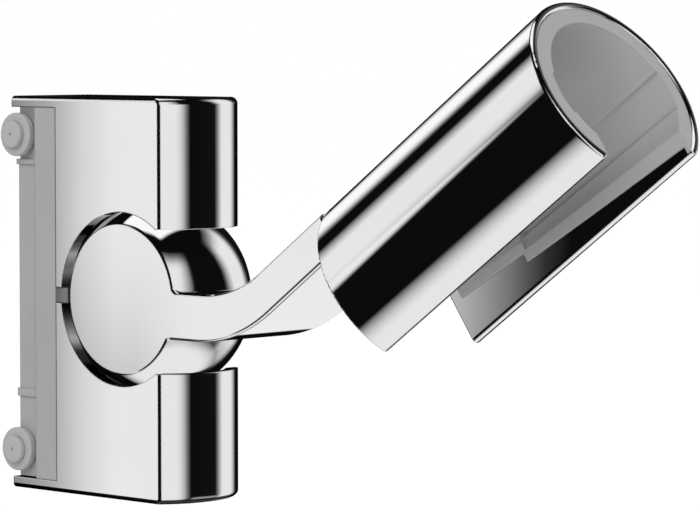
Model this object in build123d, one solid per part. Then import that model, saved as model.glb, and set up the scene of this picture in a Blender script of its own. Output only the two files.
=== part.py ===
import os
from math import cos, degrees, radians, sin, sqrt, tan

from build123d import *

# Shower rail slider in millimetres: +X out from the wall rail, +Z up along the rail.
# The origin lies on the rail plane, level with the drum that carries the tilting holder.

# Chrome housing, cast as an upper and a lower half
housing_height = 67.0
housing_width = 18.4
front_reach = 9.2
crown_rise = 3.6
side_wall = 2.1
end_wall = 1.9
front_wall = 2.2
deck_height = 19.4
gap_height = 23.8
opening_radius = 14.5
front_round = 1.1
side_round = 0.7
edge_round = 0.3

# Drum and arm of the tilting holder
pivot_reach = 26.8
drum_radius = 12.5
drum_clearance = 0.45
arm_top = 1.8
arm_bottom = -6.05
arm_bend = 21.0
arm_root_round = 1.6
arm_edge_round = 0.5
arm_seat_gap = 0.4

# Holder sleeve: its axis passes under the drum axis and rises towards the mouth
sleeve_angle = 35.5
axis_drop = 27.8
sleeve_start = 46.9
sleeve_length = 53.6
sleeve_wall = 1.2
sleeve_rim_round = 0.55
slot_round = 0.8
arm_top_inset = 1.0
arm_neck = 6.55

# Tenon of the arm, soldered into a groove in the lower end of the sleeve
tenon_inset = 0.55
tenon_thickness = 1.5
tenon_half_angle = 36.0
tenon_length = 10.0
solder_gap = 0.05

# Liner with the conical seat for the handle: flange at the mouth, shoulder, thin tail
cone_mouth_radius = 12.25
cone_drop = 1.1
flange_width = 2.65
flange_thickness = 0.6
mouth_wall = 1.75
shoulder_wall = 1.05
shoulder_step = 0.85
shoulder_height = 17.0
tail_wall = 0.8
tail_drop = 0.6
tail_height = 2.3
tail_ledge = 0.05
liner_fit = 0.05
liner_recess = 0.25
liner_proud = 0.25
groove_centre_angle = 89.0
groove_half_angle = 16.0
groove_depth = 0.45

# Carriage behind the housing
notch_setback = 15.9
carriage_fit = 0.05
block_depth = 5.75
block_inset = 1.6
bay_relief = 0.3
rib_proud = 0.3
rib_width = 2.4
upper_rib_margin = 10.8
upper_rib_height = 0.9
lower_rib_margin = 15.6
lower_rib_height = 1.4
tongue_height = 2.5
tongue_thickness = 1.3
tongue_slope = 0.5

# Guide foot that hooks into the slot of the rail
foot_height = 28.0
foot_neck_width = 3.8
foot_neck_depth = 2.0
foot_head_width = 7.2
foot_head_depth = 1.8
foot_lead = 0.6

# Brake pads against the rail face
pad_width = 2.6
pad_height = 17.0
pad_offset = 5.5
pad_depth = 1.2
pad_proud = 0.4

# Rollers and their headed pins
roller_radius = 3.7
roller_thickness = 1.35
roller_reach = 0.7
roller_margin = 6.6
pin_radius = 1.2
pin_head_radius = 2.3
pin_head_height = 0.9
pin_grip = 4.0
pin_end_play = 0.1
pin_running_fit = 0.05
gate_radius = 0.28
gate_depth = 0.2

# Housing screws
screw_margin = 11.5
screw_radius = 1.45
screw_length = 15.0
screw_head_radius = 2.4
screw_head_height = 1.8
screw_seat = 3.0
screw_fit = 0.1
boss_radius = 3.1
drive_width = 0.7
drive_depth = 0.8

# Friction parts round the drum
seat_thickness = 1.2
seat_half_angle = 30.0
seat_half_width = 5.4
seat_fit = 0.05
shoe_half_width = 5.0
shoe_half_height = 7.0
shoe_thickness = 3.2
shoe_fit = 0.1
spring_thickness = 0.35
spring_width = 4.0
spring_rise = 0.75

# Values that follow from the sizes above
half_width = housing_width / 2
half_height = housing_height / 2
side_depth = pivot_reach + front_reach
notch_depth = pivot_reach - notch_setback
inner_height = half_height - end_wall
split_half = tongue_height / 2 + carriage_fit
crown_radius = (half_width**2 + crown_rise**2) / (2 * crown_rise)
block_half = half_width - block_inset
plate_front = notch_depth - carriage_fit
carriage_half_height = inner_height - carriage_fit
liner_top = sleeve_length - liner_recess
flange_floor = liner_top - flange_thickness
flange_radius = cone_mouth_radius + flange_width
rim_bore = flange_radius + liner_fit
sleeve_radius = rim_bore + sleeve_wall
cone_end_radius = cone_mouth_radius - cone_drop
seat_mouth_radius = cone_mouth_radius + mouth_wall
seat_end_radius = cone_end_radius + shoulder_wall
tail_top_radius = seat_end_radius - shoulder_step
tail_end_radius = tail_top_radius - tail_drop
slot_half_width = tail_end_radius - tail_wall - tail_ledge
arm_top_offset = rim_bore - arm_top_inset
arm_bottom_offset = arm_top_offset - arm_neck
tenon_outer = arm_top_offset - tenon_inset
tenon_inner = tenon_outer - tenon_thickness
roller_height = half_height - roller_margin
screw_height = half_height - screw_margin
upper_rib_top = half_height - upper_rib_margin
lower_rib_top = lower_rib_margin + lower_rib_height - half_height
far = 3 * housing_height

pivot = Location((pivot_reach, 0, 0))
slope = radians(sleeve_angle)
along = Vector(cos(slope), 0, sin(slope))
above = Vector(-sin(slope), 0, cos(slope))
sleeve_foot = Vector(pivot_reach, 0, 0) - above * axis_drop + along * sleeve_start
sleeve_plane = Plane(origin=sleeve_foot, x_dir=above, z_dir=along)


def span_box(x, y, z):
    size = [high - low for low, high in (x, y, z)]
    centre = [(low + high) / 2 for low, high in (x, y, z)]
    return Pos(*centre) * Box(*size)


def drum_profile_radius(y):
    return drum_radius + crown_rise - crown_radius + sqrt(crown_radius**2 - y**2)


def drum_solid(growth=0.0, half=half_width):
    # Barrel about the pivot axis: flat discs at the ends, crowned like the front of the housing
    edge = drum_profile_radius(half) + growth
    crest = drum_profile_radius(0) + growth
    outline = Polyline((edge, half), (0, half), (0, -half), (edge, -half))
    crown = ThreePointArc((edge, -half), (crest, 0), (edge, half))
    return pivot * revolve(make_face(outline + crown), Axis.Y)


def plan_face(inset=0.0):
    # Outline seen from above: straight sides and a crowned front
    side = half_width - inset
    front = side_depth + crown_rise - inset
    outline = Polyline((side_depth, side), (0, side), (0, -side), (side_depth, -side))
    return make_face(outline + ThreePointArc((side_depth, -side), (front, 0), (side_depth, side)))


def slot_face(half, reach):
    # Slot of the sleeve in section: parallel walls that end in a half circle about the axis
    return Circle(half) + Pos(-reach / 2, 0) * Rectangle(reach, 2 * half)


def ring_sector(inner, outer, middle_angle, half_angle, height):
    # Part of a tube about the sleeve axis, standing on the sleeve's lower end
    wall = make_face(Polyline((inner, 0), (outer, 0), (outer, height), (inner, height), close=True))
    solid = revolve(Plane.XZ * wall, Axis.Z, 2 * half_angle)
    return Rot(0, 0, middle_angle - half_angle) * solid


def housing_block():
    # Outer form of the upper half with its rounded edges
    block = Pos(0, 0, split_half) * extrude(plan_face(), half_height - split_half)
    crown_edge = block.edges().filter_by(GeomType.CIRCLE).sort_by(Axis.Z)[-1]
    block = fillet(crown_edge, front_round)
    for side in (-1, 1):
        wall = block.faces().filter_by(Axis.Y).sort_by(Axis.Y)[-1 if side > 0 else 0]
        rounded = [e for e in wall.edges() if e.center().Z > half_height - front_round - side_round]
        rounded += [e for e in wall.edges().filter_by(Axis.Z) if e.center().X > side_depth / 2]
        block = fillet(rounded, side_round)
    return block


def screw_boss():
    length = side_depth + crown_rise - notch_depth
    boss = Cylinder(boss_radius, length, align=(Align.CENTER, Align.CENTER, Align.MIN))
    return Pos(notch_depth, 0, screw_height) * Rot(0, 90, 0) * boss


def screw_hole():
    depth = screw_seat + screw_length + screw_fit
    hole = Cylinder(screw_radius + carriage_fit, depth, align=(Align.CENTER, Align.CENTER, Align.MIN))
    return Pos(0, 0, screw_height) * Rot(0, 90, 0) * hole


def seat_sector(growth, half_angle, half):
    # Wedge above the drum that a friction seat fills
    reach = drum_radius + crown_rise + growth
    width = reach * sin(radians(half_angle))
    height = reach * cos(radians(half_angle))
    wedge = make_face(Polyline((0, 0), (width, height), (width, 2 * reach), (-width, 2 * reach),
                               (-width, height), close=True))
    prism = pivot * extrude(Plane.XZ * wedge, half, both=True)
    return drum_solid(growth, half) & prism


def upper_housing():
    block = housing_block()
    block -= span_box((-far, notch_depth), (-far, far), (0, inner_height))
    core = extrude(plan_face(side_wall), inner_height - deck_height)
    core = Pos(0, 0, deck_height) * core & span_box((notch_depth, far), (-far, far), (0, far))
    block -= core
    block += screw_boss() & extrude(plan_face(front_wall / 2), half_height)
    block -= screw_hole()
    block -= drum_solid(drum_clearance)
    block -= seat_sector(drum_clearance + seat_thickness + seat_fit, seat_half_angle,
                         seat_half_width + seat_fit)
    block -= pivot * Rot(90, 0, 0) * Cylinder(opening_radius, 2 * housing_width)
    block -= span_box((pivot_reach, far), (-far, far), (0, gap_height / 2))
    return block


def drum_seat():
    shell = seat_sector(drum_clearance + seat_thickness, seat_half_angle - degrees(seat_fit / drum_radius),
                        seat_half_width)
    return shell - drum_solid(drum_clearance)


def carriage_tongue():
    # Thin finger on the near side that fills the joint between the two housing halves
    tip = pivot_reach - drum_radius
    outer, inner = -half_width, tongue_thickness - half_width
    outline = Polyline((block_depth, outer), (notch_depth, outer), (tip, outer + tongue_slope),
                       (tip, inner), (block_depth, inner), close=True)
    finger = extrude(make_face(outline), tongue_height / 2, both=True)
    return finger - drum_solid(drum_clearance)


def guide_carriage():
    plate = span_box((block_depth, plate_front), (-half_width, half_width),
                     (-carriage_half_height, carriage_half_height))
    block = span_box((0, block_depth), (-block_half, block_half),
                     (-carriage_half_height, carriage_half_height))
    foot_neck = span_box((-foot_neck_depth, 0), (-foot_neck_width / 2, foot_neck_width / 2),
                         (-foot_height / 2, foot_height / 2))
    foot_head = span_box((-foot_neck_depth - foot_head_depth, -foot_neck_depth),
                         (-foot_head_width / 2, foot_head_width / 2), (-foot_height / 2, foot_height / 2))
    foot_head = chamfer(foot_head.edges().filter_by(Axis.Y), foot_lead)
    body = plate + block + foot_neck + foot_head
    for side in (-1, 1):
        y = sorted((side * (block_half + rib_proud), side * (block_half - rib_width)))
        for top, height in ((upper_rib_top, upper_rib_height), (lower_rib_top, lower_rib_height)):
            body += span_box((-rib_proud, block_depth), y, (top - height, top))
        bay = sorted((side * (block_half - bay_relief), side * half_width))
        body -= span_box((-far, block_depth), bay, (upper_rib_top, half_height))
        pad = sorted((side * (pad_offset - pad_width / 2), side * (pad_offset + pad_width / 2)))
        body -= span_box((-far, pad_depth), pad, (-pad_height / 2, pad_height / 2))
        for level in (-1, 1):
            hole = Cylinder(pin_radius, 2 * pin_grip)
            body -= Pos(roller_reach, side * block_half, level * roller_height) * Rot(90, 0, 0) * hole
    body += carriage_tongue() + mirror(carriage_tongue(), about=Plane.XZ)
    pocket_floor = plate_front - shoe_thickness - spring_rise - spring_thickness
    body -= span_box((pocket_floor, notch_depth), (-shoe_half_width - shoe_fit, shoe_half_width + shoe_fit),
                     (-shoe_half_height - shoe_fit, shoe_half_height + shoe_fit))
    for level in (-1, 1):
        bore = Pos(0, 0, level * screw_height) * Rot(0, 90, 0)
        body -= bore * Cylinder(screw_head_radius + screw_fit, 2 * screw_seat)
        body -= bore * Cylinder(screw_radius + screw_fit, far)
    return body


def rail_brake_pads():
    pads = []
    for side in (-1, 1):
        y = side * pad_offset
        pad = span_box((-pad_proud, pad_depth), (y - pad_width / 2, y + pad_width / 2),
                       (-pad_height / 2, pad_height / 2))
        pads.append(fillet(pad.edges().filter_by(Axis.Y).sort_by(Axis.X)[:2], pad_proud))
    return Compound(children=pads)


def roller():
    # Near roller, with its tread edges eased
    disc = Cylinder(roller_radius, roller_thickness, align=(Align.CENTER, Align.CENTER, Align.MIN))
    disc = fillet(disc.edges(), edge_round)
    disc -= Cylinder(pin_radius + pin_running_fit, 2 * roller_thickness)
    return Pos(roller_reach, -half_width, 0) * Rot(-90, 0, 0) * disc


def roller_pin():
    # Near pin: flat head outside the roller, shank pressed into the block
    shank_length = block_inset + pin_grip + pin_end_play
    head = Cylinder(pin_head_radius, pin_head_height, align=(Align.CENTER, Align.CENTER, Align.MAX))
    head = fillet(head.edges().sort_by(Axis.Z)[0], edge_round)
    head -= Pos(0, 0, -pin_head_height) * Cylinder(gate_radius, 2 * gate_depth)
    shank = Cylinder(pin_radius, shank_length, align=(Align.CENTER, Align.CENTER, Align.MIN))
    return Pos(roller_reach, -half_width - pin_end_play, 0) * Rot(-90, 0, 0) * (head + shank)


def housing_screws():
    screws = []
    for level in (-1, 1):
        head = Cylinder(screw_head_radius, screw_head_height, align=(Align.CENTER, Align.CENTER, Align.MAX))
        head = fillet(head.edges().sort_by(Axis.Z)[0], edge_round)
        for turn in (0, 90):
            slot = Box(2 * drive_width + screw_radius, drive_width, 2 * drive_depth)
            head -= Pos(0, 0, -screw_head_height) * Rot(0, 0, turn) * slot
        shank = Cylinder(screw_radius, screw_length, align=(Align.CENTER, Align.CENTER, Align.MIN))
        screws.append(Pos(screw_seat, 0, level * screw_height) * Rot(0, 90, 0) * (head + shank))
    return Compound(children=screws)


def tilt_brake_shoe():
    shoe = span_box((plate_front - shoe_thickness, plate_front), (-shoe_half_width, shoe_half_width),
                    (-shoe_half_height, shoe_half_height))
    return shoe - drum_solid(drum_clearance)


def shoe_spring():
    # Bowed leaf between the pocket floor and the back of the shoe
    back = plate_front - shoe_thickness - spring_rise - spring_thickness
    reach = shoe_half_height - shoe_fit
    inner = ThreePointArc((back, -reach), (back + spring_rise, 0), (back, reach))
    outer = ThreePointArc((back + spring_thickness, reach), (back + spring_rise + spring_thickness, 0),
                          (back + spring_thickness, -reach))
    ends = Line((back, reach), (back + spring_thickness, reach)) + Line((back + spring_thickness, -reach),
                                                                         (back, -reach))
    strip = extrude(make_face(inner + outer + ends), spring_width / 2, both=True)
    return Rot(90, 0, 0) * strip


def arm_outline():
    # Side view of disc and arm: level at the root, then bent up parallel to the sleeve axis
    top_end = sleeve_foot - along * arm_seat_gap + above * arm_top_offset
    bottom_end = sleeve_foot - along * arm_seat_gap + above * arm_bottom_offset
    bend_half = tan(slope / 2)

    def edge(level, end_point, bend):
        # Level line, bend and sloping line through the end point
        corner_x = end_point.X - (end_point.Z - level) / tan(slope)
        reach = bend * bend_half
        start = (pivot_reach, level)
        first = (corner_x - reach, level)
        last = (corner_x + reach * cos(slope), level + reach * sin(slope))
        arc = TangentArc(first, last, tangent=(1, 0))
        return [Line(start, first), arc, Line(last, (end_point.X, end_point.Z))]

    thickness = arm_top - arm_bottom
    top = edge(arm_top, top_end, arm_bend)
    bottom = edge(arm_bottom, bottom_end, arm_bend + thickness)
    caps = [Line((top_end.X, top_end.Z), (bottom_end.X, bottom_end.Z)),
            Line((pivot_reach, arm_bottom), (pivot_reach, arm_top))]
    return make_face(top + bottom + caps)


def tilt_arm():
    outline = arm_outline() + Pos(pivot_reach, 0) * Circle(drum_radius)
    roots = [v for v in outline.vertices() if v.X > pivot_reach and
             abs((v.center() - Vector(pivot_reach, 0)).length - drum_radius) < edge_round]
    outline = fillet(roots, arm_root_round)
    bar = Rot(90, 0, 0) * extrude(outline, half_width, both=True)
    bar = fillet(bar.faces().filter_by(Axis.Y).edges(), arm_edge_round)
    drum = drum_solid()
    drum = fillet(drum.faces().filter_by(Axis.Y).edges(), arm_edge_round)
    tenon = ring_sector(tenon_inner, tenon_outer, 0, tenon_half_angle, tenon_length + arm_seat_gap)
    tenon = sleeve_plane * Pos(0, 0, -arm_seat_gap) * tenon
    return bar + drum + tenon


def liner_outline(growth=0.0):
    # Outer side of the liner from its tail to the flange; grown by the fit it is the seat in the sleeve
    tail, shoulder, flange = tail_height - growth, shoulder_height - growth, flange_floor - growth
    corners = ((tail_end_radius, tail), (tail_top_radius, shoulder), (seat_end_radius, shoulder),
               (seat_mouth_radius, flange), (flange_radius, flange))
    return [(radius + growth, level) for radius, level in corners]


def liner_seat():
    seat = make_face(Polyline((0, tail_height - liner_fit), *liner_outline(liner_fit), (rim_bore, far),
                              (0, far), close=True))
    return revolve(Plane.XZ * seat, Axis.Z)


def holder_sleeve():
    section = Circle(sleeve_radius) - slot_face(slot_half_width, 2 * sleeve_radius)
    lips = section.vertices().sort_by(Axis.X)[:2]
    body = extrude(fillet(lips, slot_round), sleeve_length) - liner_seat()
    body = fillet(body.faces().sort_by(Axis.Z)[-1].edges(), sleeve_rim_round)
    body = fillet(body.faces().sort_by(Axis.Z)[0].edges(), edge_round)
    groove_angle = tenon_half_angle + degrees(solder_gap / tenon_inner)
    body -= ring_sector(tenon_inner - solder_gap, tenon_outer + solder_gap, 0, groove_angle,
                        tenon_length + solder_gap)
    return sleeve_plane * body


def sleeve_liner():
    shoulder_floor = shoulder_height + tail_wall
    wall = make_face(Polyline((tail_end_radius - tail_wall, tail_height), *liner_outline(),
                              (flange_radius, liner_top), (cone_mouth_radius, liner_top),
                              (cone_end_radius, shoulder_floor),
                              (tail_top_radius - tail_wall, shoulder_floor), close=True))
    liner = revolve(Plane.XZ * wall, Axis.Z)
    liner -= extrude(slot_face(slot_half_width - liner_proud, far), sleeve_length)
    groove = make_face(Polyline((0, shoulder_floor), (cone_end_radius + groove_depth, shoulder_floor),
                                (cone_mouth_radius + groove_depth, liner_top), (0, liner_top), close=True))
    for side in (-1, 1):
        start = 180 + side * groove_centre_angle - groove_half_angle
        liner -= Rot(0, 0, start) * revolve(Plane.XZ * groove, Axis.Z, 2 * groove_half_angle)
    return sleeve_plane * liner


def build():
    nodes = {}
    nodes["upper_housing"] = upper_housing()
    nodes["lower_housing"] = mirror(nodes["upper_housing"], about=Plane.XY)
    nodes["upper_drum_seat"] = drum_seat()
    nodes["lower_drum_seat"] = mirror(nodes["upper_drum_seat"], about=Plane.XY)
    nodes["guide_carriage"] = guide_carriage()
    nodes["rail_brake_pads"] = rail_brake_pads()
    nodes["tilt_brake_shoe"] = tilt_brake_shoe()
    nodes["shoe_spring"] = shoe_spring()
    nodes["housing_screws"] = housing_screws()
    for level, height in (("upper", roller_height), ("lower", -roller_height)):
        near_roller = Pos(0, 0, height) * roller()
        near_pin = Pos(0, 0, height) * roller_pin()
        nodes[f"{level}_near_roller"] = near_roller
        nodes[f"{level}_far_roller"] = mirror(near_roller, about=Plane.XZ)
        nodes[f"{level}_near_pin"] = near_pin
        nodes[f"{level}_far_pin"] = mirror(near_pin, about=Plane.XZ)
    nodes["tilt_arm"] = tilt_arm()
    nodes["holder_sleeve"] = holder_sleeve()
    nodes["sleeve_liner"] = sleeve_liner()
    return nodes


os.makedirs("parts", exist_ok=True)
for name, shape in build().items():
    export_step(shape, f"parts/{name}.step")
    print(f"{name}: {len(shape.solids())} solid, {shape.volume:.1f} mm3")
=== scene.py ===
import math
import bpy
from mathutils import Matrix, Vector

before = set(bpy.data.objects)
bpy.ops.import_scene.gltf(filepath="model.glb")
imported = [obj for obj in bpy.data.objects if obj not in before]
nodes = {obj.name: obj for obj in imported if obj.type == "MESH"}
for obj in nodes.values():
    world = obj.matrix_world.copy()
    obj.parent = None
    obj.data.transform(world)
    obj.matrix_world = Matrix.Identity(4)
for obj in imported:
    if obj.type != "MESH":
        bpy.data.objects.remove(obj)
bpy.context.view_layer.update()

scene = bpy.context.scene
scene.view_settings.view_transform = "Standard"


def grey(value, tint=1.0):
    return (value, value, value * tint, 1.0)


white = grey(1.0)


def setInput(tree, socket, value):
    # a number or colour is set, an output is linked
    if isinstance(value, (float, tuple)):
        socket.default_value = value
    else:
        tree.links.new(value, socket)


def mathNode(tree, operation, *values):
    node = tree.nodes.new("ShaderNodeMath")
    node.operation = operation
    for socket, value in zip(node.inputs, values):
        setInput(tree, socket, value)
    return node.outputs[0]


def mixColour(tree, fac, a, b, blend="MIX"):
    node = tree.nodes.new("ShaderNodeMix")
    node.data_type = "RGBA"
    node.blend_type = blend
    setInput(tree, node.inputs["Factor"], fac)
    setInput(tree, node.inputs[6], a)  # inputs 6 and 7 and output 2 are the colour ones
    setInput(tree, node.inputs[7], b)
    return node.outputs[2]


def scaleColour(tree, a, b):
    return mixColour(tree, 1.0, a, b, "MULTIPLY")


def splitVector(tree, vector):
    node = tree.nodes.new("ShaderNodeSeparateXYZ")
    tree.links.new(vector, node.inputs[0])
    return node.outputs


def rampNode(tree, fac, stops):
    node = tree.nodes.new("ShaderNodeValToRGB")
    elements = node.color_ramp.elements
    while len(elements) < len(stops):
        elements.new(0.5)  # put in place just below
    for element, (place, tone) in zip(elements, stops):
        element.position = place
        element.color = (*tone, 1.0)
    tree.links.new(fac, node.inputs[0])
    return node.outputs[0]


def rampOver(tree, fac, pairs, span, tint=1.0):
    # grey ramp from pairs of place and brightness, with places counted over the span
    low, high = span
    stops = [((place - low) / (high - low), (value, value, value * tint)) for place, value in pairs]
    return rampNode(tree, fac, stops)


def slide(tree, value, low, high):
    # 0 at low, 1 at high
    node = tree.nodes.new("ShaderNodeMapRange")
    node.inputs["From Min"].default_value = low
    node.inputs["From Max"].default_value = high
    tree.links.new(value, node.inputs["Value"])
    return node.outputs[0]


def spread(tree, value, low, high):
    # 0 to 1 stretched to low to high
    node = tree.nodes.new("ShaderNodeMapRange")
    node.inputs["To Min"].default_value = low
    node.inputs["To Max"].default_value = high
    tree.links.new(value, node.inputs["Value"])
    return node.outputs[0]


def between(tree, value, span, edge):
    low, high = span
    rising = slide(tree, value, low - edge, low + edge)
    falling = slide(tree, value, high + edge, high - edge)
    return mathNode(tree, "MULTIPLY", rising, falling)


cameraSet = {
    "place": (0.46517, -0.42056, 0.04355),  # metres from the rail plane's centre
    "azimuth": 43.188,
    "elevation": 3.455,
    "lens": 186.57,
    "sensor": 36.0,
    "clipStart": 0.01,
}


def makeCamera():
    data = bpy.data.cameras.new("photoCamera")
    data.lens = cameraSet["lens"]
    data.sensor_width = cameraSet["sensor"]
    data.clip_start = cameraSet["clipStart"]
    camera = bpy.data.objects.new("photoCamera", data)
    scene.collection.objects.link(camera)
    camera.location = cameraSet["place"]
    pitch = math.radians(90 - cameraSet["elevation"])
    camera.rotation_euler = (pitch, 0, math.radians(cameraSet["azimuth"]))
    scene.camera = camera
    print("camera placed")


studioSet = {
    "ambient": 0.66,  # soft fill on matt surfaces
    "light": 0.875,   # pale ground that the plating mirrors
    "dark": 0.0033,
    "tint": 1.012,    # the pale walls lean to blue by this much
}
compassSpan = (-180.0, 180.0)
heightSpan = (-90.0, 90.0)

# walls that the plating mirrors: brightness against compass angle, turning from +X towards -Y
wallSet = {
    "high": [(-178.1, 0.075), (-172.8, 0.65), (-167.5, 1.03), (-155.0, 1.03), (-152.0, 0.85),
             (-149.0, 0.62), (-146.0, 0.36), (-143.5, 0.1), (-142.0, 0.012), (-104, 0.004),
             (-97, 0.1), (-93, 0.42), (-89, 0.72), (-84, 0.87), (-61, 0.87), (-57, 0.7),
             (-50, 0.36), (-45, 0.1), (-41, 0.004), (7, 0.004), (10, 0.02), (19, 0.44),
             (28, 0.82), (32, 0.87), (56, 0.87), (62, 0.004), (129.8, 0.004), (131.8, 0.16),
             (135.3, 0.7), (139, 0.87), (155, 0.87), (167, 0.004)],
    "middle": [(-178.1, 0.075), (-172.8, 0.65), (-167.5, 1.03), (-153.5, 1.03), (-150.5, 0.85),
               (-147.5, 0.62), (-144.5, 0.36), (-142, 0.1), (-140.5, 0.012), (-106, 0.004),
               (-100, 0.14), (-95, 0.36), (-89, 0.68), (-83, 0.87), (-62, 0.87), (-57, 0.56),
               (-52, 0.2), (-47, 0.006), (-4, 0.004), (1, 0.16), (6, 0.5), (12, 0.77),
               (18, 0.87), (42, 0.87), (46, 0.004), (129.8, 0.004), (131.8, 0.16), (135.3, 0.7),
               (139, 0.87), (155, 0.87), (161.1, 0.46), (166.1, 0.005)],
    "low": [(-104, 0.003), (-100, 0.04), (-95, 0.32), (-89, 0.66), (-83, 0.87), (-62, 0.87),
            (-57, 0.56), (-52, 0.2), (-47, 0.006), (-4, 0.004), (1, 0.16), (6, 0.5), (12, 0.77),
            (18, 0.87), (39, 0.87), (43, 0.004)],
    "lowToMiddle": (-1.0, 0.6),   # height angles where one band gives way to the next
    "middleToHigh": (1.5, 9.0),
    "backFrom": (127.0, 129.0),   # behind the rail the walls end at backTop
    "backTop": (22.5, 25.0),
}

# pale slit in the low band, which the housing's side mirrors
slitSet = {
    "stops": [(129.7, 0.004), (130.1, 0.03), (130.4, 0.1), (130.9, 0.27), (131.4, 0.46), (132.0, 0.68),
              (132.8, 0.85), (133.4, 0.89), (136.9, 0.89), (137.4, 0.74), (137.9, 0.45), (139.5, 0.004)],
    "span": (126.0, 142.0),
    "edge": 0.1,
}

# share of dark ceiling, dark skirting and pale ground against height angle
levelSet = {
    "ceiling": [(35, 0.0), (41, 0.2), (47, 0.62), (51, 0.83), (56, 1.0)],
    "skirting": [(-45, 0.75), (-42, 0.42), (-38, 0.3), (-31, 0.14), (-25, 0.0)],
    "ground": [(-60, 1.0), (-56, 0.9), (-51, 0.66), (-46, 0.3), (-42.5, 0.0)],
}

# patches on the walls by compass and height angle: dark strip behind the rail, dark end of the ground
backSet = {"turn": (-190.0, -128.0), "rise": (-10.0, 9.0), "edge": 1.2, "slant": 0.0}
shadeSet = {"turn": (-136.0, -94.0), "rise": (-72.0, -41.5), "edge": 1.0, "slant": 0.0}

# low card behind and dim card for the far side
kickerSet = {"turn": (-156.0, -142.0), "rise": (-41.0, -22.0), "edge": 0.8, "slant": 0.83, "glow": 0.9}
fillSet = {"turn": (-52.0, -8.0), "rise": (-40.0, -13.0), "edge": 4.0, "slant": 0.0, "glow": 0.32}

# overhead softbox, its sides as slopes x/z and y/z
overheadSet = {
    "across": (-0.94, 0.125),
    "along": (-0.29, 0.35),
    "edge": 0.04,
    "above": (0.3, 0.4),
    "glow": 1.05,
}


def patch(tree, turn, rise, values):
    leaning = mathNode(tree, "ADD", turn, mathNode(tree, "MULTIPLY", rise, values["slant"]))
    across = between(tree, leaning, values["turn"], values["edge"])
    return mathNode(tree, "MULTIPLY", across, between(tree, rise, values["rise"], values["edge"]))


def paintBands(tree, turn, rise):
    compass = slide(tree, turn, *compassSpan)
    low, middle, high = (rampOver(tree, compass, wallSet[band], compassSpan, studioSet["tint"])
                         for band in ("low", "middle", "high"))
    slit = rampOver(tree, slide(tree, turn, *slitSet["span"]), slitSet["stops"], slitSet["span"])
    low = mixColour(tree, between(tree, turn, slitSet["span"], slitSet["edge"]), low, slit)
    walls = mixColour(tree, slide(tree, rise, *wallSet["lowToMiddle"]), low, middle)
    return mixColour(tree, slide(tree, rise, *wallSet["middleToHigh"]), walls, high)


def paintLevels(tree, turn, rise, walls):
    height = slide(tree, rise, *heightSpan)
    ceiling, skirting, ground = (rampOver(tree, height, levelSet[level], heightSpan)
                                 for level in ("ceiling", "skirting", "ground"))
    behind = slide(tree, mathNode(tree, "ABSOLUTE", turn), *wallSet["backFrom"])
    behind = mathNode(tree, "MULTIPLY", behind, slide(tree, rise, *wallSet["backTop"]))
    for share in (behind, ceiling, skirting, patch(tree, turn, rise, backSet)):
        walls = mixColour(tree, share, walls, grey(studioSet["dark"]))
    unshaded = mathNode(tree, "SUBTRACT", 1.0, patch(tree, turn, rise, shadeSet))
    ground = mathNode(tree, "MULTIPLY", ground, unshaded)
    return mixColour(tree, ground, walls, grey(studioSet["light"]))


def overheadShare(tree, x, y, z):
    across = between(tree, mathNode(tree, "DIVIDE", x, z), overheadSet["across"], overheadSet["edge"])
    along = between(tree, mathNode(tree, "DIVIDE", y, z), overheadSet["along"], overheadSet["edge"])
    box = mathNode(tree, "MULTIPLY", across, along)
    return mathNode(tree, "MULTIPLY", box, slide(tree, z, *overheadSet["above"]))


def makeWorld():
    world = bpy.data.worlds.new("studioRoom")
    scene.world = world
    world.use_nodes = True
    tree = world.node_tree
    tree.nodes.clear()
    x, y, z = splitVector(tree, tree.nodes.new("ShaderNodeTexCoord").outputs["Generated"])
    turn = mathNode(tree, "ARCTAN2", mathNode(tree, "MULTIPLY", y, -1.0), x)
    turn = mathNode(tree, "DEGREES", turn)
    rise = mathNode(tree, "DEGREES", mathNode(tree, "ARCSINE", z))

    walls = paintLevels(tree, turn, rise, paintBands(tree, turn, rise))
    walls = mixColour(tree, overheadShare(tree, x, y, z), walls, grey(overheadSet["glow"]))
    for card in (kickerSet, fillSet):
        walls = mixColour(tree, patch(tree, turn, rise, card), walls, grey(card["glow"], studioSet["tint"]))

    path = tree.nodes.new("ShaderNodeLightPath")
    mirror = mathNode(tree, "MAXIMUM", path.outputs["Is Glossy Ray"], path.outputs["Is Transmission Ray"])
    direct = mathNode(tree, "LESS_THAN", path.outputs["Diffuse Depth"], 0.5)
    mirror = mathNode(tree, "MULTIPLY", mirror, direct)  # light scattered by matt parts stays even
    seen = mixColour(tree, mirror, grey(studioSet["ambient"]), walls)
    seen = mixColour(tree, path.outputs["Is Camera Ray"], seen, white)
    background = tree.nodes.new("ShaderNodeBackground")
    output = tree.nodes.new("ShaderNodeOutputWorld")
    tree.links.new(seen, background.inputs["Color"])
    tree.links.new(background.outputs[0], output.inputs["Surface"])
    print("studio walls done")


floorSet = {
    "half": 6.0,
    "drop": -0.060,
    "tone": 0.9,
    "glow": 1.1,
    "glowShare": 0.8,  # to the camera, the rest takes the shadow
}


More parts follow.
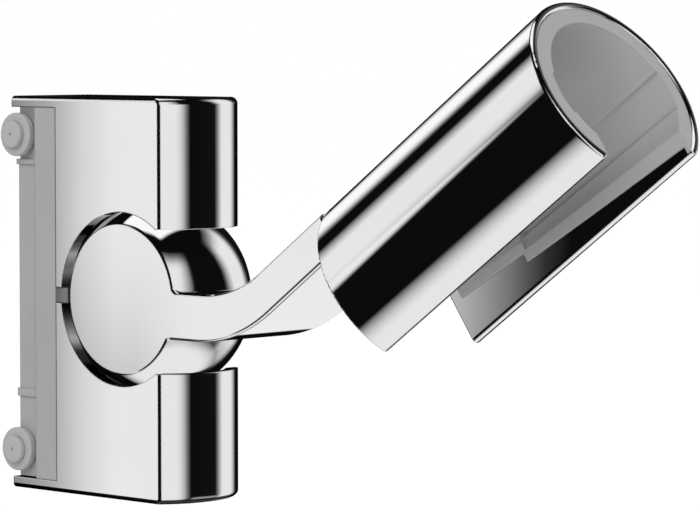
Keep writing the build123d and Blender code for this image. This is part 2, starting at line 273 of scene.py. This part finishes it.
def makeFloor():
    half, drop = floorSet["half"], floorSet["drop"]
    corners = [(-half, -half, drop), (half, -half, drop), (half, half, drop), (-half, half, drop)]
    mesh = bpy.data.meshes.new("studioFloor")
    mesh.from_pydata(corners, [], [(0, 1, 2, 3)])
    floor = bpy.data.objects.new("studioFloor", mesh)
    scene.collection.objects.link(floor)
    material = bpy.data.materials.new("paleFloor")
    material.use_nodes = True
    tree = material.node_tree
    tree.nodes.clear()
    diffuse = tree.nodes.new("ShaderNodeBsdfDiffuse")
    diffuse.inputs["Color"].default_value = grey(floorSet["tone"])
    glow = tree.nodes.new("ShaderNodeEmission")
    glow.inputs["Strength"].default_value = floorSet["glow"]
    path = tree.nodes.new("ShaderNodeLightPath")
    mix = tree.nodes.new("ShaderNodeMixShader")
    output = tree.nodes.new("ShaderNodeOutputMaterial")
    share = mathNode(tree, "MULTIPLY", path.outputs["Is Camera Ray"], floorSet["glowShare"])
    tree.links.new(share, mix.inputs[0])
    tree.links.new(diffuse.outputs[0], mix.inputs[1])
    tree.links.new(glow.outputs[0], mix.inputs[2])
    tree.links.new(mix.outputs[0], output.inputs["Surface"])
    mesh.materials.append(material)
    floor.visible_glossy = False   # the plating mirrors the studio walls, not this plane
    floor.visible_diffuse = False  # and it gives no bounce light
    floor.visible_shadow = False   # it takes the shadow and throws none
    print("floor laid")


lampAim = Vector((0.06, 0.0, 0.01))
lampSet = {
    "keySoftbox": {"place": (0.30, -0.75, 0.70), "power": 3.4, "size": 0.6},
    "fillSoftbox": {"place": (0.70, 0.45, 0.35), "power": 1.2, "size": 0.8},
    "slotSoftbox": {"place": (0.36, -0.36, -0.30), "power": 0.85, "size": 0.3, "only": ["sleeve_liner"]},
}


def makeLamps():
    for name, lamp in lampSet.items():
        data = bpy.data.lights.new(name, "AREA")
        data.energy = lamp["power"]
        data.shape = "SQUARE"
        data.size = lamp["size"]
        obj = bpy.data.objects.new(name, data)
        scene.collection.objects.link(obj)
        obj.location = lamp["place"]
        obj.rotation_euler = (lampAim - obj.location).to_track_quat("-Z", "Y").to_euler()
        obj.visible_glossy = False
        if "only" in lamp:  # light for these pieces alone
            lit = bpy.data.collections.new(name + "Lit")
            for piece in lamp["only"]:
                lit.objects.link(nodes[piece])
            obj.light_linking.receiver_collection = lit
    print("lamps hung")


def newMaterial(name):
    material = bpy.data.materials.new(name)
    material.use_nodes = True
    tree = material.node_tree
    shader = tree.nodes["Principled BSDF"]
    coords = tree.nodes.new("ShaderNodeTexCoord")
    return material, tree, shader, coords.outputs["Object"]


def noiseNode(tree, place, scale, detail):
    node = tree.nodes.new("ShaderNodeTexNoise")
    node.inputs["Scale"].default_value = scale
    node.inputs["Detail"].default_value = detail
    tree.links.new(place, node.inputs["Vector"])
    return node.outputs["Fac"]


def driftTone(tree, noise, drift, values):
    return rampNode(tree, noise, [(drift[0], values["deep"]), (drift[1], values["pale"])])


edgeSamples = 6


def softEdge(tree, radius):
    node = tree.nodes.new("ShaderNodeBevel")  # broken edges, finer than the solids carry
    node.samples = edgeSamples
    node.inputs["Radius"].default_value = radius
    return node.outputs[0]


# Painted shade: each share below paints dark reflections and shade into the base colour.
# The pieces don't mirror each other, so each share below darkens a finish where the photograph shows it
# darker than the studio alone makes it. A share multiplies the tone: 1 leaves it, 0 is black.


def faceDirection(tree):
    return tree.nodes.new("ShaderNodeTexCoord").outputs["Normal"]


# paints a darker tone where the mask is: painted shade
def paintedShade(tree, where, share):
    return mixColour(tree, where, white, grey(share))


pivotReach = 0.0268  # tilt pivot from the rail plane
shareSpan = (0.0, 1.0)


def paintedShadeAround(tree, place, values):
    # painted shade by angle round the pivot, from the back to the front, for surfaces close to it
    x, _, z = splitVector(tree, place)
    x = mathNode(tree, "SUBTRACT", x, pivotReach)
    reach = mathNode(tree, "ADD", mathNode(tree, "MULTIPLY", x, x), mathNode(tree, "MULTIPLY", z, z))
    reach = mathNode(tree, "SQRT", reach)
    inside = mathNode(tree, "LESS_THAN", reach, values["reach"])
    sideways = mathNode(tree, "ABSOLUTE", splitVector(tree, faceDirection(tree))[1])
    inside = mathNode(tree, "MULTIPLY", inside, slide(tree, sideways, *values["sideways"]))
    around = slide(tree, mathNode(tree, "DIVIDE", x, reach), -1.0, 1.0)
    share = rampOver(tree, around, values["share"], shareSpan)
    return mixColour(tree, inside, white, share)


# painted shade and dark reflection in the hollow round the drum, and a painted dark reflection on the
# housing's rounded lower edge
openingSet = {
    "reach": 0.0176,
    "sideways": (0.8, 0.6),
    "share": [(0.0, 0.05), (0.006, 0.06), (0.02, 0.5), (0.065, 0.6), (0.09, 0.25), (0.115, 0.05),
              (0.42, 0.045), (0.47, 1.0)],
}
bottomSet = {"below": -0.0327, "flat": (-0.985, -0.93), "share": 0.04}


def housingPaintedShade(tree, place):
    low = mathNode(tree, "LESS_THAN", splitVector(tree, place)[2], bottomSet["below"])
    rounded = slide(tree, splitVector(tree, faceDirection(tree))[2], *bottomSet["flat"])
    lowerEdge = paintedShade(tree, mathNode(tree, "MULTIPLY", low, rounded), bottomSet["share"])
    return scaleColour(tree, lowerEdge, paintedShadeAround(tree, place, openingSet))


# painted shade: barrel of the drum painted dark at the back, and its flat ends painted a little darker
# towards the bottom
drumSet = {
    "reach": 0.0168,
    "sideways": (0.95, 0.85),
    "share": [(0.0, 0.05), (0.375, 0.05), (0.41, 1.0)],
}
discSet = {
    "span": (-0.0125, 0.0125),
    "flat": (0.96, 0.99),
    "fade": (0.016, 0.004),  # along the arm, from the pivot
    "share": [(0.0, 0.73), (0.15, 0.79), (0.4, 0.88), (0.7, 0.95), (1.0, 1.0)],
}


def armPaintedShade(tree, place):
    x, _, z = splitVector(tree, place)
    flat = mathNode(tree, "ABSOLUTE", splitVector(tree, faceDirection(tree))[1])
    flat = slide(tree, flat, *discSet["flat"])
    near = slide(tree, mathNode(tree, "SUBTRACT", x, pivotReach), *discSet["fade"])
    disc = rampOver(tree, slide(tree, z, *discSet["span"]), discSet["share"], shareSpan)
    disc = mixColour(tree, mathNode(tree, "MULTIPLY", flat, near), white, disc)
    return scaleColour(tree, disc, paintedShadeAround(tree, place, drumSet))


# painted dark reflection on the cut end of the sleeve, found by how far a face turns towards the sleeve's
# axis
sleeveSet = {"lean": 35.5, "end": (0.88, 0.975), "share": 0.06}


def sleeveEndPaintedShade(tree, place):
    lean = math.radians(sleeveSet["lean"])
    dot = tree.nodes.new("ShaderNodeVectorMath")
    dot.operation = "DOT_PRODUCT"
    tree.links.new(faceDirection(tree), dot.inputs[0])
    dot.inputs[1].default_value = (math.cos(lean), 0.0, math.sin(lean))
    return paintedShade(tree, slide(tree, dot.outputs["Value"], *sleeveSet["end"]), sleeveSet["share"])


# painted shade ahead of the carriage's block: the tongues between the housing halves are painted darker
tongueSet = {"start": 0.01085, "end": 0.0128, "share": (0.3, 0.5)}


def tonguePaintedShade(tree, place):
    x = splitVector(tree, place)[0]
    low, high = tongueSet["share"]
    along = slide(tree, x, tongueSet["start"], tongueSet["end"])
    share = mixColour(tree, along, grey(low), grey(high))
    return mixColour(tree, mathNode(tree, "GREATER_THAN", x, tongueSet["start"]), white, share)


chromeSet = {
    "pale": (0.908, 0.909, 0.911),
    "deep": (0.89, 0.891, 0.893),
    "drift": (0.3, 0.7),
    "rough": (0.004, 0.014),
    "cloudScale": 55.0,
    "cloudDetail": 3.0,
    "edge": 0.00026,
}


def makeChrome(name, paintedShadeOf):
    material, tree, shader, place = newMaterial(name)
    cloud = noiseNode(tree, place, chromeSet["cloudScale"], chromeSet["cloudDetail"])
    tone = driftTone(tree, cloud, chromeSet["drift"], chromeSet)
    # painted shade multiplied into the base colour
    tone = scaleColour(tree, tone, paintedShadeOf(tree, place))
    tree.links.new(tone, shader.inputs["Base Color"])
    tree.links.new(spread(tree, cloud, *chromeSet["rough"]), shader.inputs["Roughness"])
    tree.links.new(softEdge(tree, chromeSet["edge"]), shader.inputs["Normal"])
    shader.inputs["Metallic"].default_value = 1.0
    return material


mouldSet = {
    "greyMoulding": {"pale": (0.452, 0.458, 0.468), "deep": (0.424, 0.43, 0.44), "rough": (0.42, 0.52)},
    "greyRoller": {"pale": (0.516, 0.522, 0.534), "deep": (0.486, 0.492, 0.504), "rough": (0.38, 0.48)},
    "greyLiner": {"pale": (0.4, 0.404, 0.413), "deep": (0.374, 0.378, 0.387), "rough": (0.40, 0.50)},
    "padRubber": {"pale": (0.03, 0.03, 0.03), "deep": (0.018, 0.018, 0.018), "rough": (0.7, 0.85)},
}
grainSet = {
    "drift": (0.25, 0.75),
    "flowScale": 90.0,     # slow drift in tone
    "grainScale": 7000.0,  # fine mould grain
    "detail": 2.0,
    "bump": 0.06,
    "depth": 0.00003,
    "edge": 0.0004,
}


def makeMoulded(name, paintedShadeOf=None):
    values = mouldSet[name]
    material, tree, shader, place = newMaterial(name)
    flow = noiseNode(tree, place, grainSet["flowScale"], grainSet["detail"])
    grain = noiseNode(tree, place, grainSet["grainScale"], grainSet["detail"])
    tone = driftTone(tree, flow, grainSet["drift"], values)
    # painted shade multiplied into the base colour
    if paintedShadeOf:
        tone = scaleColour(tree, tone, paintedShadeOf(tree, place))
    tree.links.new(tone, shader.inputs["Base Color"])
    tree.links.new(spread(tree, grain, *values["rough"]), shader.inputs["Roughness"])
    bump = tree.nodes.new("ShaderNodeBump")
    bump.inputs["Strength"].default_value = grainSet["bump"]
    bump.inputs["Distance"].default_value = grainSet["depth"]
    tree.links.new(grain, bump.inputs["Height"])
    tree.links.new(softEdge(tree, grainSet["edge"]), bump.inputs["Normal"])
    tree.links.new(bump.outputs[0], shader.inputs["Normal"])
    return material


steelSet = {
    "pale": (0.56, 0.56, 0.57),
    "deep": (0.42, 0.42, 0.43),
    "drift": (0.3, 0.7),
    "rough": (0.28, 0.42),
    "mottleScale": 900.0,
    "mottleDetail": 2.0,
}


def makeSteel():
    material, tree, shader, place = newMaterial("screwSteel")
    mottle = noiseNode(tree, place, steelSet["mottleScale"], steelSet["mottleDetail"])
    tree.links.new(driftTone(tree, mottle, steelSet["drift"], steelSet), shader.inputs["Base Color"])
    tree.links.new(spread(tree, mottle, *steelSet["rough"]), shader.inputs["Roughness"])
    shader.inputs["Metallic"].default_value = 1.0
    return material


def dress(names, material):
    for name in names:
        data = nodes[name].data
        data.materials.clear()
        data.materials.append(material)


carriagePieces = ["guide_carriage", "upper_drum_seat", "lower_drum_seat", "tilt_brake_shoe"]
rollerPieces = [f"{level}_{side}_{piece}" for level in ("upper", "lower") for side in ("near", "far")
                for piece in ("roller", "pin")]


def dressAll():
    for node in nodes.values():
        node.visible_glossy = False  # the plating mirrors the studio alone
    dress(["upper_housing", "lower_housing"], makeChrome("housingChrome", housingPaintedShade))
    dress(["tilt_arm"], makeChrome("armChrome", armPaintedShade))
    dress(["holder_sleeve"], makeChrome("sleeveChrome", sleeveEndPaintedShade))
    dress(carriagePieces, makeMoulded("greyMoulding", tonguePaintedShade))
    dress(rollerPieces, makeMoulded("greyRoller"))
    dress(["sleeve_liner"], makeMoulded("greyLiner"))
    dress(["rail_brake_pads"], makeMoulded("padRubber"))
    dress(["housing_screws", "shoe_spring"], makeSteel())
    print("finishes on")


makeCamera()
makeWorld()
makeFloor()
makeLamps()
dressAll()
